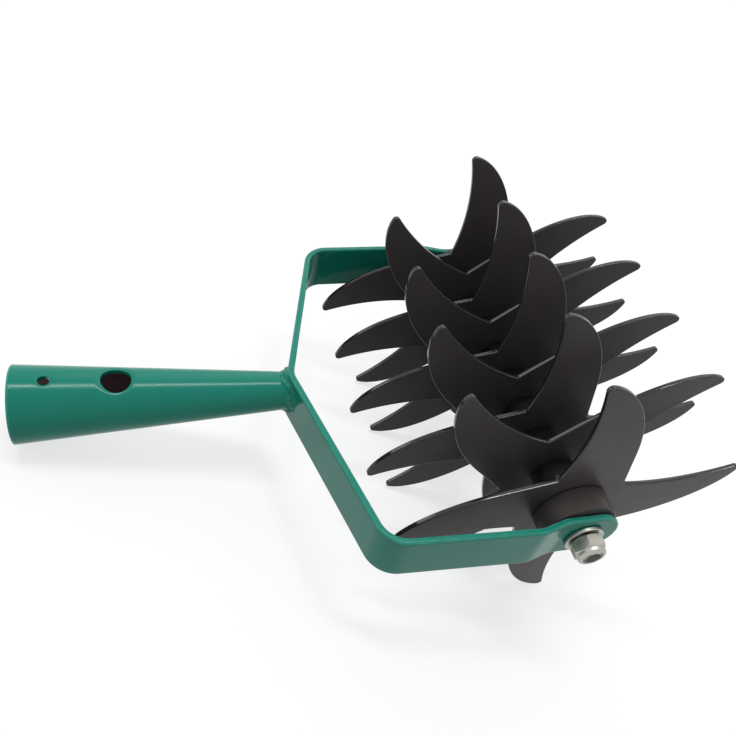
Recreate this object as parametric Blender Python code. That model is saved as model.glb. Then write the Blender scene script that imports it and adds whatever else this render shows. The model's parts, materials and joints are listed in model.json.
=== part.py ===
"""Garden cultivator head for a long wooden handle.

A tapered steel socket is welded to a yoke bent from flat bar. Nine four-toothed star discs turn
as one rotor on a long bolt between the yoke's arms, and crumble the soil as the tool is pushed.

The tool's own frame has its origin on the bolt, midway between the arms: X points away from the
socket, Y along the bolt to the far arm, and Z square to the yoke. The tool lies on the ground on
its socket's mouth and its lowest teeth, so that frame leans by a worked-out angle.
"""
import math

import bmesh
import bpy
import numpy as np
from mathutils import Matrix

MM = 0.001
SEAT = 0.3 * MM                  # gap left between pieces that touch
RUNNING_GAP = 0.5 * MM           # play between the end bushes and the arms

# Yoke: a flat bar, given by the outer face of its bends
BAR_WIDTH = 25.0 * MM
BAR_THICKNESS = 3.0 * MM
BAR_EDGE = 0.7 * MM              # rounding of the bar's long edges
APEX_BACK = 113.6 * MM           # point of the shallow V, behind the bolt
CORNER_BACK = 89.5 * MM          # corners between the V and the arms, behind the bolt
BEND_RADIUS = 14.0 * MM          # outer face of the corners and of the V
ARM_SPLAY = math.radians(2.6)    # each arm leans outwards towards the rotor
JOGGLE_BACK = 16.0 * MM          # middle of the joggle, behind the bolt
JOGGLE_LENGTH = 9.0 * MM
JOGGLE_DEPTH = 3.0 * MM          # how far the joggle brings the arm's end inwards
JOGGLE_RADIUS = 5.0 * MM         # inner face of the joggle's bends
ARM_END = 16.6 * MM              # the arm's round end, past the bolt

# Socket: a tapered tube
SOCKET_LENGTH = 111.7 * MM       # from the mouth to the point of the V
MOUTH_RADIUS = 16.5 * MM
NECK_RADIUS = 9.0 * MM
SOCKET_WALL = 1.8 * MM
MOUTH_LIP = 0.4 * MM             # rounding of the mouth's outer edge
HOLE_TURN = math.radians(5.0)    # both holes lie this far round from the top
SCREW_HOLE_RADIUS = 2.3 * MM
SCREW_HOLE_INSET = 13.3 * MM     # from the mouth
BUTTON_HOLE_RADIUS = 6.1 * MM
BUTTON_HOLE_INSET = 39.6 * MM    # from the mouth

# Weld bead round the neck
WELD_ON_NECK = 4.2 * MM
WELD_ON_BAR = 2.9 * MM
WELD_TOE = 0.5 * MM              # thickness of the bead's two edges
WELD_CROWN = 0.8 * MM            # how far the bead bulges
WELD_RIPPLE = 0.35 * MM
WELD_RIPPLES = 9

# Bolt, washers and lock nut, M8
BOLT_RADIUS = 4.0 * MM
BOLT_POINT = 0.8 * MM            # chamfer of the thread's end
BOLT_TAIL = 0.2 * MM             # thread past the nut
HEX_ACROSS_FLATS = 13.0 * MM
HEX_CHAMFER = 0.4 * MM           # flat ring inside the corners' chamfer
HEAD_HEIGHT = 5.3 * MM
WASHER_RADIUS = 8.6 * MM
WASHER_THICKNESS = 1.6 * MM
NUT_HEX_HEIGHT = 5.8 * MM
NUT_HEIGHT = 8.0 * MM
COLLAR_RADIUS = 6.2 * MM         # round collar that holds the nylon ring
COLLAR_ROUND = 0.7 * MM
INSERT_RADIUS = 5.2 * MM
INSERT_HEIGHT = 1.7 * MM

# Star discs
DISC_COUNT = 9
DISC_PITCH = 18.3 * MM
DISC_THICKNESS = 2.0 * MM
DISC_EDGE = 0.3 * MM             # rounding of the plate's rims
TEETH = 4
TOOTH_REACH = 82.6 * MM          # end of the belly's curve, from the bolt
TOOTH_FLANK = 23.6 * MM          # straight back of a tooth, beside its radius
BELLY_START = 31.9 * MM          # where the straight back turns into the belly
BELLY_OFFSET = 2.8 * MM          # centre of the belly's curve, on the hollow side
HOLLOW_RADIUS = 114.0 * MM       # inner curve of the hook
HOLLOW_FROM = 67.8 * MM          # deepest point of the hollow, along the tooth
HOLLOW_SINK = 1.0 * MM           # how far the hollow dips past the tooth's radius
TIP_RADIUS = 2.0 * MM
VALLEY_RADIUS = 1.6 * MM
SET_LAG = math.radians(30.5)     # turn between the two sets of discs
ROTOR_TURN = math.radians(-1.0)  # the rotor, from lying evenly on both sets of teeth

# Spacers and end bushes, which turn with the discs
SPACER_RADIUS = 10.0 * MM
BUSH_RADIUS = 16.5 * MM
BUSH_LENGTH = 10.7 * MM
SLEEVE_CHAMFER = 0.5 * MM

# Steps of the round shapes
SOCKET_SIDES = 48
SMALL_SIDES = 24
BEND_STEPS = 8
BELLY_STEPS = 8
HOLLOW_STEPS = 6
TIP_STEPS = 3

# Sizes that follow from the ones above
HOLE_RADIUS = BOLT_RADIUS + SEAT
JOGGLE_FROM = -JOGGLE_BACK - JOGGLE_LENGTH / 2
JOGGLE_TO = -JOGGLE_BACK + JOGGLE_LENGTH / 2
ROTOR_HALF = (DISC_COUNT - 1) / 2 * DISC_PITCH + DISC_THICKNESS / 2
SPACER_LENGTH = DISC_PITCH - DISC_THICKNESS - 2 * SEAT
ARM_INNER = ROTOR_HALF + SEAT + BUSH_LENGTH + RUNNING_GAP
ARM_OUTER = ARM_INNER + BAR_THICKNESS                # outer face of the arms' flat ends
ARM_WIDEST = ARM_OUTER + JOGGLE_DEPTH
CORNER_HALF = ARM_WIDEST - (CORNER_BACK + JOGGLE_FROM) * math.tan(ARM_SPLAY)
WASHER_SEAT = ARM_OUTER + SEAT
FASTENER_SEAT = WASHER_SEAT + WASHER_THICKNESS + SEAT
TOOTH_LEAN = (2 * math.pi / TEETH - SET_LAG) / 2     # lowest teeth, from straight down
MOUTH_BACK = APEX_BACK + SOCKET_LENGTH

# Finishes: colour, roughness, metallic
GREEN_PAINT = ("#1f8a70", 0.3, 0.0)
BLACK_PAINT = ("#2a292b", 0.35, 0.0)
ZINC = ("#c9cbcc", 0.25, 1.0)
NYLON = ("#d9dcd6", 0.5, 0.0)


def linear(colour):
    """Linear red, green and blue of an sRGB hex colour."""
    channels = [int(colour[place:place + 2], 16) / 255 for place in (1, 3, 5)]
    return [value / 12.92 if value <= 0.04045 else ((value + 0.055) / 1.055) ** 2.4
            for value in channels]


def make_material(name, colour, roughness, metallic):
    material = bpy.data.materials.new(name)
    material.use_nodes = True
    shader = material.node_tree.nodes["Principled BSDF"]
    shader.inputs["Base Color"].default_value = (*linear(colour), 1.0)
    shader.inputs["Roughness"].default_value = roughness
    shader.inputs["Metallic"].default_value = metallic
    return material


def add_node(name, mesh, carrier, finish):
    """Makes a mesh a piece of its own, carried by one of the two empties."""
    node = bpy.data.objects.new(name, mesh)
    bpy.context.scene.collection.objects.link(node)
    node.parent = carrier
    if not mesh.materials:
        mesh.materials.append(make_material(name + "_finish", *finish))
        mesh.shade_smooth()
        mesh.set_sharp_from_angle(angle=math.radians(35))
    return node


def mesh_from(name, points, faces):
    """A closed mesh: doubled points merged, faces turned outwards."""
    shape = bmesh.new()
    corners = [shape.verts.new(point) for point in points]
    for face in faces:
        shape.faces.new([corners[index] for index in face])
    bmesh.ops.remove_doubles(shape, verts=shape.verts, dist=0.001 * MM)
    bmesh.ops.recalc_face_normals(shape, faces=shape.faces)
    mesh = bpy.data.meshes.new(name)
    shape.to_mesh(mesh)
    shape.free()
    return mesh


def band(rings, sides, closed_rings, closed_sides=True):
    """Faces between rings of points that follow each other in one list."""
    faces = []
    for ring in range(rings if closed_rings else rings - 1):
        here, there = ring * sides, (ring + 1) % rings * sides
        for side in range(sides if closed_sides else sides - 1):
            after = (side + 1) % sides
            faces.append((here + side, here + after, there + after, there + side))
    return faces


def turned(name, profile, sides, hollow=True):
    """Turns a profile of (along, radius) points about the Z axis, closing it if hollow."""
    turns = 2 * math.pi * np.arange(sides) / sides
    points = [(radius * math.cos(turn), radius * math.sin(turn), along)
              for turn in turns for along, radius in profile]
    return mesh_from(name, points, band(sides, len(profile), True, hollow))


def combine(mesh, other, operation):
    """Applies an exact Boolean of two meshes and returns the result."""
    base = bpy.data.objects.new("base", mesh)
    tool = bpy.data.objects.new("tool", other)
    for thing in (base, tool):
        bpy.context.scene.collection.objects.link(thing)
    tool.hide_render = True
    tool.display_type = "WIRE"
    boolean = base.modifiers.new("boolean", "BOOLEAN")
    boolean.operation = operation
    boolean.solver = "EXACT"
    boolean.object = tool
    bpy.context.view_layer.update()
    shape = bmesh.new()
    shape.from_object(base, bpy.context.evaluated_depsgraph_get())
    bmesh.ops.remove_doubles(shape, verts=shape.verts, dist=0.001 * MM)
    result = bpy.data.meshes.new(mesh.name)
    shape.to_mesh(result)
    shape.free()
    for thing in (base, tool):
        bpy.data.objects.remove(thing, do_unlink=True)
    return result


def rod(radius, low, high, sides):
    """A plain round bar along the Z axis."""
    return turned("rod", [(low, 0.0), (low, radius), (high, radius), (high, 0.0)], sides, False)


def along_bolt(mesh, place, outwards):
    """Moves a mesh made upwards from the ground to a place on the bolt, pointing outwards."""
    mesh.transform(Matrix.Rotation(-outwards * math.pi / 2, 4, "X"))
    mesh.transform(Matrix.Translation((0.0, outwards * place, 0.0)))
    return mesh


def prism(name, outline, low, high):
    """A flat outline of (x, y) points, carried from one height to another."""
    count = len(outline)
    points = [(x, y, height) for height in (low, high) for x, y in outline]
    caps = [tuple(range(count)), tuple(range(count, 2 * count))]
    return mesh_from(name, points, band(2, count, False) + caps)


def fillet(before, corner, after, radius, steps):
    """The arc that rounds a corner: its points, and unit normals on the right of the way along."""
    a, c, b = (np.array(point, float) for point in (before, corner, after))
    back, ahead = (a - c) / np.linalg.norm(a - c), (b - c) / np.linalg.norm(b - c)
    half = math.acos(float(back @ ahead)) / 2
    middle = c + (back + ahead) / np.linalg.norm(back + ahead) * radius / math.sin(half)
    first = c + back * radius / math.tan(half) - middle
    start = math.atan2(first[1], first[0])
    leftwards = 1 if back[0] * ahead[1] - back[1] * ahead[0] < 0 else -1
    turns = start + leftwards * (math.pi - 2 * half) * np.linspace(0, 1, steps + 1)
    spokes = np.column_stack((np.cos(turns), np.sin(turns)))
    return middle + radius * spokes, leftwards * spokes


def yoke_line():
    """The bar's outer face from above, from the far arm's end to the near one's, with normals."""
    far_side = [
        ((ARM_END, ARM_OUTER), None, 0),
        ((JOGGLE_TO, ARM_OUTER), JOGGLE_RADIUS, 3),
        ((JOGGLE_FROM, ARM_WIDEST), JOGGLE_RADIUS + BAR_THICKNESS, 3),
        ((-CORNER_BACK, CORNER_HALF), BEND_RADIUS, BEND_STEPS),
    ]
    near_side = [((x, -y), radius, steps) for (x, y), radius, steps in reversed(far_side)]
    knots = far_side + [((-APEX_BACK, 0.0), BEND_RADIUS, BEND_STEPS // 2)] + near_side
    bends = [fillet(before[0], here[0], after[0], here[1], here[2])
             for before, here, after in zip(knots, knots[1:], knots[2:])]
    return np.vstack([points for points, _ in bends]), np.vstack([normals for _, normals in bends])


def bar_back(across):
    """Where the V's outer face lies along X, at places across the tool."""
    line, _ = yoke_line()
    back = line[line[:, 0] < -CORNER_BACK]
    return np.interp(across, back[::-1, 1], back[::-1, 0])


def bar_section():
    """The bar's rounded section: depth from the outer face, rounding at the rim, and side."""
    rise = np.radians([0, 45, 90])
    turns = np.concatenate((rise, rise[::-1], rise, rise[::-1]))
    depth = BAR_EDGE * (1 - np.cos(turns))
    depth[3:9] = BAR_THICKNESS - depth[3:9]
    rounding = BAR_EDGE * (1 - np.sin(turns))
    return depth, rounding, np.repeat([1, -1], 6)


def yoke_mesh():
    """Carries the bar's section along its line, round at both ends, and drills it for the bolt."""
    line, normals = yoke_line()
    half_width = BAR_WIDTH / 2
    rounds = np.radians([10, 20, 32, 45, 60, 75, 90])
    ends = np.column_stack((ARM_END - half_width * (1 - np.cos(rounds)), np.full(7, ARM_OUTER)))
    points = np.vstack((ends, line, ends[::-1] * (1, -1)))
    normals = np.vstack((np.tile((0, 1), (7, 1)), normals, np.tile((0, -1), (7, 1))))
    halves = np.full(len(points), half_width)
    halves[:7] = half_width * np.sin(rounds)
    halves[-7:] = halves[6::-1]
    depth, rounding, side = bar_section()
    flat = points[:, None, :] - normals[:, None, :] * depth[None, :, None]
    height = side * (halves[:, None] - rounding)
    vertices = np.concatenate((flat, height[:, :, None]), axis=2).reshape(-1, 3)
    sides = len(depth)
    caps = [tuple(range(sides)), tuple(range(len(vertices) - sides, len(vertices)))]
    bar = mesh_from("yoke", vertices, band(len(points), sides, False) + caps)
    drill = along_bolt(rod(HOLE_RADIUS, -2 * ARM_OUTER, 2 * ARM_OUTER, SMALL_SIDES), 0.0, 1)
    return combine(bar, drill, "DIFFERENCE")


def socket_radius(along):
    """Outer radius of the tapered tube at a place along X."""
    return NECK_RADIUS + (MOUTH_RADIUS - NECK_RADIUS) * (-APEX_BACK - along) / SOCKET_LENGTH


def socket_mesh():
    """The tapered tube: its neck is cut to the bar's V, and its top has the two holes."""
    past = -APEX_BACK + NECK_RADIUS
    lip = np.radians([0, 45, 90])
    profile = [(-MOUTH_BACK + MOUTH_LIP * (1 - math.sin(turn)),
                MOUTH_RADIUS - MOUTH_LIP * (1 - math.cos(turn))) for turn in lip]
    profile += [(-MOUTH_BACK, MOUTH_RADIUS - SOCKET_WALL),
                (past, socket_radius(past) - SOCKET_WALL), (past, socket_radius(past))]
    tube = turned("socket", profile, SOCKET_SIDES)
    tube.transform(Matrix.Rotation(math.pi / 2, 4, "Y"))
    across = np.linspace(-2 * NECK_RADIUS, 2 * NECK_RADIUS, 17)
    outline = list(zip(bar_back(across) - SEAT, across)) + [(0.0, across[-1]), (0.0, across[0])]
    tube = combine(tube, prism("neck_cut", outline, -BAR_WIDTH, BAR_WIDTH), "DIFFERENCE")
    for inset, radius in ((SCREW_HOLE_INSET, SCREW_HOLE_RADIUS), (BUTTON_HOLE_INSET, BUTTON_HOLE_RADIUS)):
        drill = rod(radius, 0.0, 2 * MOUTH_RADIUS, SMALL_SIDES)
        place = Matrix.Translation((inset - MOUTH_BACK, 0.0, 0.0))
        drill.transform(place @ Matrix.Rotation(HOLE_TURN, 4, "X"))
        tube = combine(tube, drill, "DIFFERENCE")
    return tube


def weld_mesh():
    """The bead: a bulging fillet between neck and bar, rippled as it goes round the neck."""
    inner = NECK_RADIUS + SEAT
    room = BAR_WIDTH / 2 - BAR_EDGE - inner
    points = []
    for turn in 2 * math.pi * np.arange(SOCKET_SIDES) / SOCKET_SIDES:
        across, up = math.cos(turn), math.sin(turn)
        ripple = WELD_RIPPLE * math.sin(WELD_RIPPLES * turn)
        outer = inner + min(WELD_ON_BAR, room)
        radii = np.array([inner, (inner + outer) / 2, outer])
        seat = bar_back(radii * across) - SEAT
        neck_end = seat[0] - WELD_ON_NECK - ripple
        toe_on_neck = np.array((neck_end, socket_radius(neck_end) + SEAT + WELD_TOE))
        toe_on_bar = np.array((seat[2] - WELD_TOE, outer))
        chord = toe_on_neck - toe_on_bar
        bulge = np.array((chord[1], -chord[0])) / np.linalg.norm(chord)
        crown = [toe_on_bar + chord * share + bulge * (WELD_CROWN + ripple) * 4 * share * (1 - share)
                 for share in (0.3, 0.65)]
        section = [*zip(seat, radii), toe_on_bar, *crown, toe_on_neck,
                   (neck_end, socket_radius(neck_end) + SEAT)]
        points += [(along, radius * across, radius * up) for along, radius in section]
    return mesh_from("socket_weld", points, band(SOCKET_SIDES, len(section), True))


def hexagon(name, height, ends):
    """A hexagonal bar standing on the ground, its corners turned off at the given ends."""
    corner = HEX_ACROSS_FLATS / math.sqrt(3)
    flat_ring = HEX_ACROSS_FLATS / 2 - HEX_CHAMFER
    drop = (corner - flat_ring) * math.tan(math.radians(30))
    low = [(0.0, flat_ring), (drop, corner)] if "low" in ends else [(0.0, 1.1 * corner)]
    high = [(height - drop, corner), (height, flat_ring)] if "high" in ends else [(height, 1.1 * corner)]
    blank = turned("blank", [(0.0, 0.0)] + low + high + [(height, 0.0)], 2 * SMALL_SIDES, False)
    return combine(rod(corner, -height, 2 * height, 6), blank, "INTERSECT")


def bolt_mesh():
    """The bolt: its head outside the far arm, its thread end past the nut on the near arm."""
    reach = 2 * FASTENER_SEAT + NUT_HEIGHT + BOLT_TAIL
    shank = turned("shank", [(HEAD_HEIGHT / 2, 0.0), (HEAD_HEIGHT / 2, BOLT_RADIUS),
                             (-reach + BOLT_POINT, BOLT_RADIUS), (-reach, BOLT_RADIUS - BOLT_POINT),
                             (-reach, 0.0)], SMALL_SIDES, False)
    bolt = combine(hexagon("axle_bolt", HEAD_HEIGHT, ("high",)), shank, "UNION")
    return along_bolt(bolt, FASTENER_SEAT, 1)


def nut_mesh():
    """The lock nut: a hexagon and a round collar that is open for the nylon ring."""
    collar = turned("collar", [(NUT_HEX_HEIGHT / 2, 0.0), (NUT_HEX_HEIGHT / 2, COLLAR_RADIUS),
                               (NUT_HEIGHT - COLLAR_ROUND, COLLAR_RADIUS),
                               (NUT_HEIGHT - COLLAR_ROUND * 0.3, COLLAR_RADIUS - COLLAR_ROUND * 0.3),
                               (NUT_HEIGHT, COLLAR_RADIUS - COLLAR_ROUND), (NUT_HEIGHT, 0.0)],
                    SMALL_SIDES, False)
    nut = combine(hexagon("lock_nut", NUT_HEX_HEIGHT, ("low", "high")), collar, "UNION")
    ledge = NUT_HEIGHT - INSERT_HEIGHT - SEAT
    hollow = turned("hollow", [(-NUT_HEIGHT, 0.0), (-NUT_HEIGHT, HOLE_RADIUS), (ledge, HOLE_RADIUS),
                               (ledge, INSERT_RADIUS + SEAT), (2 * NUT_HEIGHT, INSERT_RADIUS + SEAT),
                               (2 * NUT_HEIGHT, 0.0)], SMALL_SIDES, False)
    return along_bolt(combine(nut, hollow, "DIFFERENCE"), FASTENER_SEAT, -1)


def ring_mesh(name, radius, height, chamfer):
    """A ring that goes over the bolt, standing on the ground, chamfered at its outer rims."""
    return turned(name, [(0.0, HOLE_RADIUS), (0.0, radius - chamfer), (chamfer, radius),
                         (height - chamfer, radius), (height, radius - chamfer), (height, HOLE_RADIUS)],
                  SMALL_SIDES)


def belly_point(share):
    """A point of the tooth's convex edge, from the straight back (0) to the end (1), and its normal."""
    turn = share * math.pi / 2
    along, across = TOOTH_REACH - BELLY_START, TOOTH_FLANK + BELLY_OFFSET
    point = np.array((BELLY_START + along * math.sin(turn), BELLY_OFFSET - across * math.cos(turn)))
    normal = np.array((math.sin(turn) / along, -math.cos(turn) / across))
    return point, normal / np.linalg.norm(normal)


def tooth_outline():
    """One hooked tooth pointing along X, from the valley before it to the valley after it.

    Its back is straight, then a quarter of an ellipse. Its hollow side is an arc. A small circle
    that touches both rounds the tip, and its place is found by halving.
    """
    hub = np.array((HOLLOW_FROM, HOLLOW_RADIUS - HOLLOW_SINK))
    low, high = 0.0, 1.0
    for _ in range(40):
        share = (low + high) / 2
        point, normal = belly_point(share)
        tip = point - TIP_RADIUS * normal
        if np.linalg.norm(tip - hub) > HOLLOW_RADIUS + TIP_RADIUS:
            low = share
        else:
            high = share
    belly = [belly_point(step * share)[0] for step in np.linspace(0, 1, BELLY_STEPS + 1)]
    to_hub = (hub - tip) / np.linalg.norm(hub - tip)
    turns = np.linspace(math.atan2(normal[1], normal[0]), math.atan2(to_hub[1], to_hub[0]), TIP_STEPS + 1)
    nose = [tip + TIP_RADIUS * np.array((math.cos(turn), math.sin(turn))) for turn in turns[1:]]
    valley = math.asin((TOOTH_FLANK - hub[0]) / HOLLOW_RADIUS)
    near_tip = math.asin((nose[-1][0] - hub[0]) / HOLLOW_RADIUS)
    swing = near_tip + (valley - near_tip) * np.linspace(0, 1, HOLLOW_STEPS + 1)
    hollow = hub + HOLLOW_RADIUS * np.column_stack((np.sin(swing), -np.cos(swing)))
    turned_back = np.array((hollow[-1][0], BELLY_START))
    corner, _ = fillet(hollow[-2], hollow[-1], turned_back, VALLEY_RADIUS, 2)
    return np.vstack((belly, nose, hollow[1:-1], corner))


def star_outline():
    """The whole disc seen along the bolt: the tooth, repeated round the middle."""
    tooth = tooth_outline()
    turns = 2 * math.pi * np.arange(TEETH) / TEETH
    return np.vstack([tooth @ np.array(((math.cos(turn), math.sin(turn)),
                                        (-math.sin(turn), math.cos(turn)))) for turn in turns])


def disc_mesh():
    """A star disc about the bolt, its rims a little rounded, with its hole."""
    rim = star_outline()
    ahead = np.roll(rim, -1, axis=0) - np.roll(rim, 1, axis=0)
    ahead /= np.linalg.norm(ahead, axis=1)[:, None]
    inset = rim + DISC_EDGE * np.column_stack((-ahead[:, 1], ahead[:, 0]))
    half = DISC_THICKNESS / 2
    layers = ((inset, -half), (rim, DISC_EDGE - half), (rim, half - DISC_EDGE), (inset, half))
    points = [(x, place, z) for outline, place in layers for x, z in outline]
    count = len(rim)
    caps = [tuple(range(count)), tuple(range(3 * count, 4 * count))]
    plate = mesh_from("star_disc", points, band(4, count, False) + caps)
    drill = along_bolt(rod(HOLE_RADIUS, -DISC_PITCH, DISC_PITCH, SMALL_SIDES), 0.0, 1)
    return combine(plate, drill, "DIFFERENCE")


def resting_place():
    """Height of the bolt over the ground, and the lean of the yoke, as the tool lies."""
    rim = star_outline()
    height = max(-(rim[:, 0] * math.sin(turn) + rim[:, 1] * math.cos(turn)).min()
                 for turn in (TOOTH_LEAN + ROTOR_TURN, TOOTH_LEAN - ROTOR_TURN))
    back, down = MOUTH_BACK - MOUTH_LIP, MOUTH_RADIUS - MOUTH_LIP
    lean = math.asin((height - MOUTH_LIP) / math.hypot(back, down)) - math.atan2(down, back)
    return height, lean


def add_carrier(name, height, lean):
    carrier = bpy.data.objects.new(name, None)
    bpy.context.scene.collection.objects.link(carrier)
    carrier.location = (0.0, 0.0, height)
    carrier.rotation_euler = (0.0, -lean, 0.0)
    return carrier


def build_frame(carrier):
    """Socket, weld, yoke, bolt and its fasteners."""
    add_node("socket", socket_mesh(), carrier, GREEN_PAINT)
    add_node("socket_weld", weld_mesh(), carrier, GREEN_PAINT)
    add_node("yoke", yoke_mesh(), carrier, GREEN_PAINT)
    add_node("axle_bolt", bolt_mesh(), carrier, ZINC)
    for name, outwards in (("bolt_washer", 1), ("nut_washer", -1)):
        washer = ring_mesh(name, WASHER_RADIUS, WASHER_THICKNESS, WASHER_THICKNESS / 8)
        add_node(name, along_bolt(washer, WASHER_SEAT, outwards), carrier, ZINC)
    add_node("lock_nut", nut_mesh(), carrier, ZINC)
    insert = ring_mesh("lock_nut_insert", INSERT_RADIUS, INSERT_HEIGHT, INSERT_HEIGHT / 8)
    add_node("lock_nut_insert", along_bolt(insert, FASTENER_SEAT + NUT_HEIGHT - INSERT_HEIGHT, -1),
             carrier, NYLON)


def build_rotor(carrier):
    """Discs turned alternately one way and the other, with the spacers and bushes between them."""
    plate = disc_mesh()
    first = (DISC_COUNT - 1) / 2 * DISC_PITCH
    for number in range(DISC_COUNT):
        disc = add_node(f"star_disc_{number + 1}", plate, carrier, BLACK_PAINT)
        disc.location.y = first - number * DISC_PITCH
        flipped = number % 2 == 1
        disc.rotation_euler = (math.pi, TOOTH_LEAN, 0.0) if flipped else (0.0, -TOOTH_LEAN, 0.0)
    tube = along_bolt(ring_mesh("spacer", SPACER_RADIUS, SPACER_LENGTH, SLEEVE_CHAMFER), 0.0, -1)
    for number in range(DISC_COUNT - 1):
        spacer = add_node(f"spacer_{number + 1}", tube, carrier, BLACK_PAINT)
        spacer.location.y = first - number * DISC_PITCH - DISC_THICKNESS / 2 - SEAT
    for name, outwards in (("end_bush_far", 1), ("end_bush_near", -1)):
        bush = ring_mesh(name, BUSH_RADIUS, BUSH_LENGTH, SLEEVE_CHAMFER)
        add_node(name, along_bolt(bush, ROTOR_HALF + SEAT, outwards), carrier, BLACK_PAINT)


def centre_over_origin(carriers):
    """Moves the tool along the ground, so that its outer box is centred over the origin."""
    bpy.context.view_layer.update()
    corners = [thing.matrix_world @ point.co for thing in bpy.context.scene.objects
               if thing.type == "MESH" for point in thing.data.vertices]
    low, high = np.min(corners, axis=0), np.max(corners, axis=0)
    for carrier in carriers:
        carrier.location.x -= (low[0] + high[0]) / 2
        carrier.location.y -= (low[1] + high[1]) / 2
    bpy.context.view_layer.update()
    print("bolt at", [round(value * 1000, 4) for value in carriers[0].location], "mm")
    print("box", np.round((high - low) * 1000, 2), "mm, lowest", round(float(low[2]) * 1000, 4))


def main():
    for thing in list(bpy.context.scene.objects):
        bpy.data.objects.remove(thing, do_unlink=True)
    height, lean = resting_place()
    frame = add_carrier("frame_lean", height, lean)
    rotor = add_carrier("rotor_axis", height, ROTOR_TURN)
    build_frame(frame)
    build_rotor(rotor)
    centre_over_origin((frame, rotor))
    print("lean of the yoke", round(math.degrees(lean), 4), "degrees")


main()
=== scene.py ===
# %% [markdown]
# # A rolling star cultivator, dressed for the camera
# The real tool is a small steel head for a long wooden handle: a tapered socket, a yoke bent from
# flat bar, and nine star-shaped discs that roll on one long bolt. Its plain solids were made
# first, with sizes estimated from a photograph. This lesson gives each of them a finer surface and
# a real finish, then sets up the light and the camera. How the real tool was made can't be seen in
# a photograph, so where the text tells it, that is the usual way for such tools. We begin by
# loading the solids, which fix every size.

# %% Load the solids
import json
import math

import bmesh
import bpy
import numpy as np
from mathutils import Matrix, Vector


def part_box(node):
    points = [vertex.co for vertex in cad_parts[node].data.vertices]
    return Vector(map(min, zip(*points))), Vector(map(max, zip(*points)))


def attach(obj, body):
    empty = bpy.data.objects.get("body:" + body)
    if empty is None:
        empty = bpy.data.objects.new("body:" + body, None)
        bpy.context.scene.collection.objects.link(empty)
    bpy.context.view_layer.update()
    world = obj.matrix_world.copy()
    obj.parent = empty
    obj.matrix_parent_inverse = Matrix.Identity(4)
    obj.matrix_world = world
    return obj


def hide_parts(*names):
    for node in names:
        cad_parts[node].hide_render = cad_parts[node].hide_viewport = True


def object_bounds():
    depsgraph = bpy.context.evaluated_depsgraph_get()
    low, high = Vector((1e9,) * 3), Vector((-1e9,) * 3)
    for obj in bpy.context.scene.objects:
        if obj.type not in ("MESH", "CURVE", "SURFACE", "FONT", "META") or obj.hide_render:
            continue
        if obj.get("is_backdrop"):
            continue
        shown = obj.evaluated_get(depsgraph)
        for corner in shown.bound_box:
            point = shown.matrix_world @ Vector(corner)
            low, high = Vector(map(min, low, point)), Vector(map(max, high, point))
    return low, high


MM = 0.001
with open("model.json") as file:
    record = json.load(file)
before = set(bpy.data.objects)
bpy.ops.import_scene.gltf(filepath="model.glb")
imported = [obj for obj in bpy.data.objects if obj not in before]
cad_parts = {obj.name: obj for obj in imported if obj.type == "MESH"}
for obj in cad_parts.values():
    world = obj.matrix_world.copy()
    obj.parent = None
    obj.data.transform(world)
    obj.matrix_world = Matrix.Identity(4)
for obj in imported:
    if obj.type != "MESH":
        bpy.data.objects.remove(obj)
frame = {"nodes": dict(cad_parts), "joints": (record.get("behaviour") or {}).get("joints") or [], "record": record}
cad_low, cad_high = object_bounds()
cad_size = [round((high - low) / MM, 1) for low, high in zip(cad_low, cad_high)]
print("solids", len(frame["nodes"]), "box in mm", cad_size)

# %% [markdown]
# ## The tool's own axes
# The head lies on the ground on its socket's mouth and its lowest teeth, so the yoke leans. It is
# far easier to draw the yoke and the socket square to themselves, in millimetres from the middle
# of the bolt, and to turn the finished points once. The record gives the bolt's place, and the
# direction in which the socket's mouth faces, so no angle has to be typed in again.

# %% From the tool's axes to the scene
BOLT = np.array(frame["joints"][0]["pos_m"])
mouth_x, _, mouth_z = frame["record"]["mounts"][0]["axis"]
TOOL_AXES = np.array(((-mouth_x, 0, -mouth_z), (0, 1, 0), (mouth_z, 0, -mouth_x)))


def in_scene(points, axes=TOOL_AXES):
    """Place = bolt + x * first axis + y * second axis + z * third axis, points in millimetres."""
    return BOLT + MM * (np.asarray(points, float) @ axes)


print("the yoke leans by", round(math.degrees(math.atan2(-mouth_z, -mouth_x)), 2), "degrees")

# %% [markdown]
# ## One way to make a mesh
# Every new surface below is a grid of points: a profile carried along a path, or turned about an
# axis. Numpy works out the whole grid at once, and neighbouring points become four-sided faces.
# A helper merges points that coincide, because an open seam would show as a crease in the light,
# and turns the faces outwards. After a Boolean it clears slivers thinner than 0.03 mm and splits
# the faces that have more than four sides, which may not be flat.

# %% Grids and pieces
def grid_faces(rows, columns, close_rows=False, close_columns=False):
    """Each face joins point (r, c) with its neighbours (r, c+1), (r+1, c+1) and (r+1, c)."""
    r, c = np.meshgrid(np.arange(rows if close_rows else rows - 1),
                       np.arange(columns if close_columns else columns - 1), indexing="ij")
    after_r, after_c = (r + 1) % rows, (c + 1) % columns
    corners = (r * columns + c, r * columns + after_c,
               after_r * columns + after_c, after_r * columns + c)
    return np.stack(corners, axis=-1).reshape(-1, 4)


SLIVER = 0.03 * MM               # edges shorter than this are merged away


def merged(mesh, outwards):
    """The mesh without doubles and slivers, and where asked with all its faces turned outwards."""
    shape = bmesh.new()
    shape.from_mesh(mesh)
    bmesh.ops.remove_doubles(shape, verts=shape.verts, dist=SLIVER)
    bmesh.ops.dissolve_degenerate(shape, edges=shape.edges, dist=SLIVER)
    many_sided = [face for face in shape.faces if len(face.verts) > 4 and not outwards]
    bmesh.ops.triangulate(shape, faces=many_sided, ngon_method="BEAUTY")
    if outwards:
        bmesh.ops.recalc_face_normals(shape, faces=shape.faces)
    shape.to_mesh(mesh)
    shape.free()
    return mesh


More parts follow.
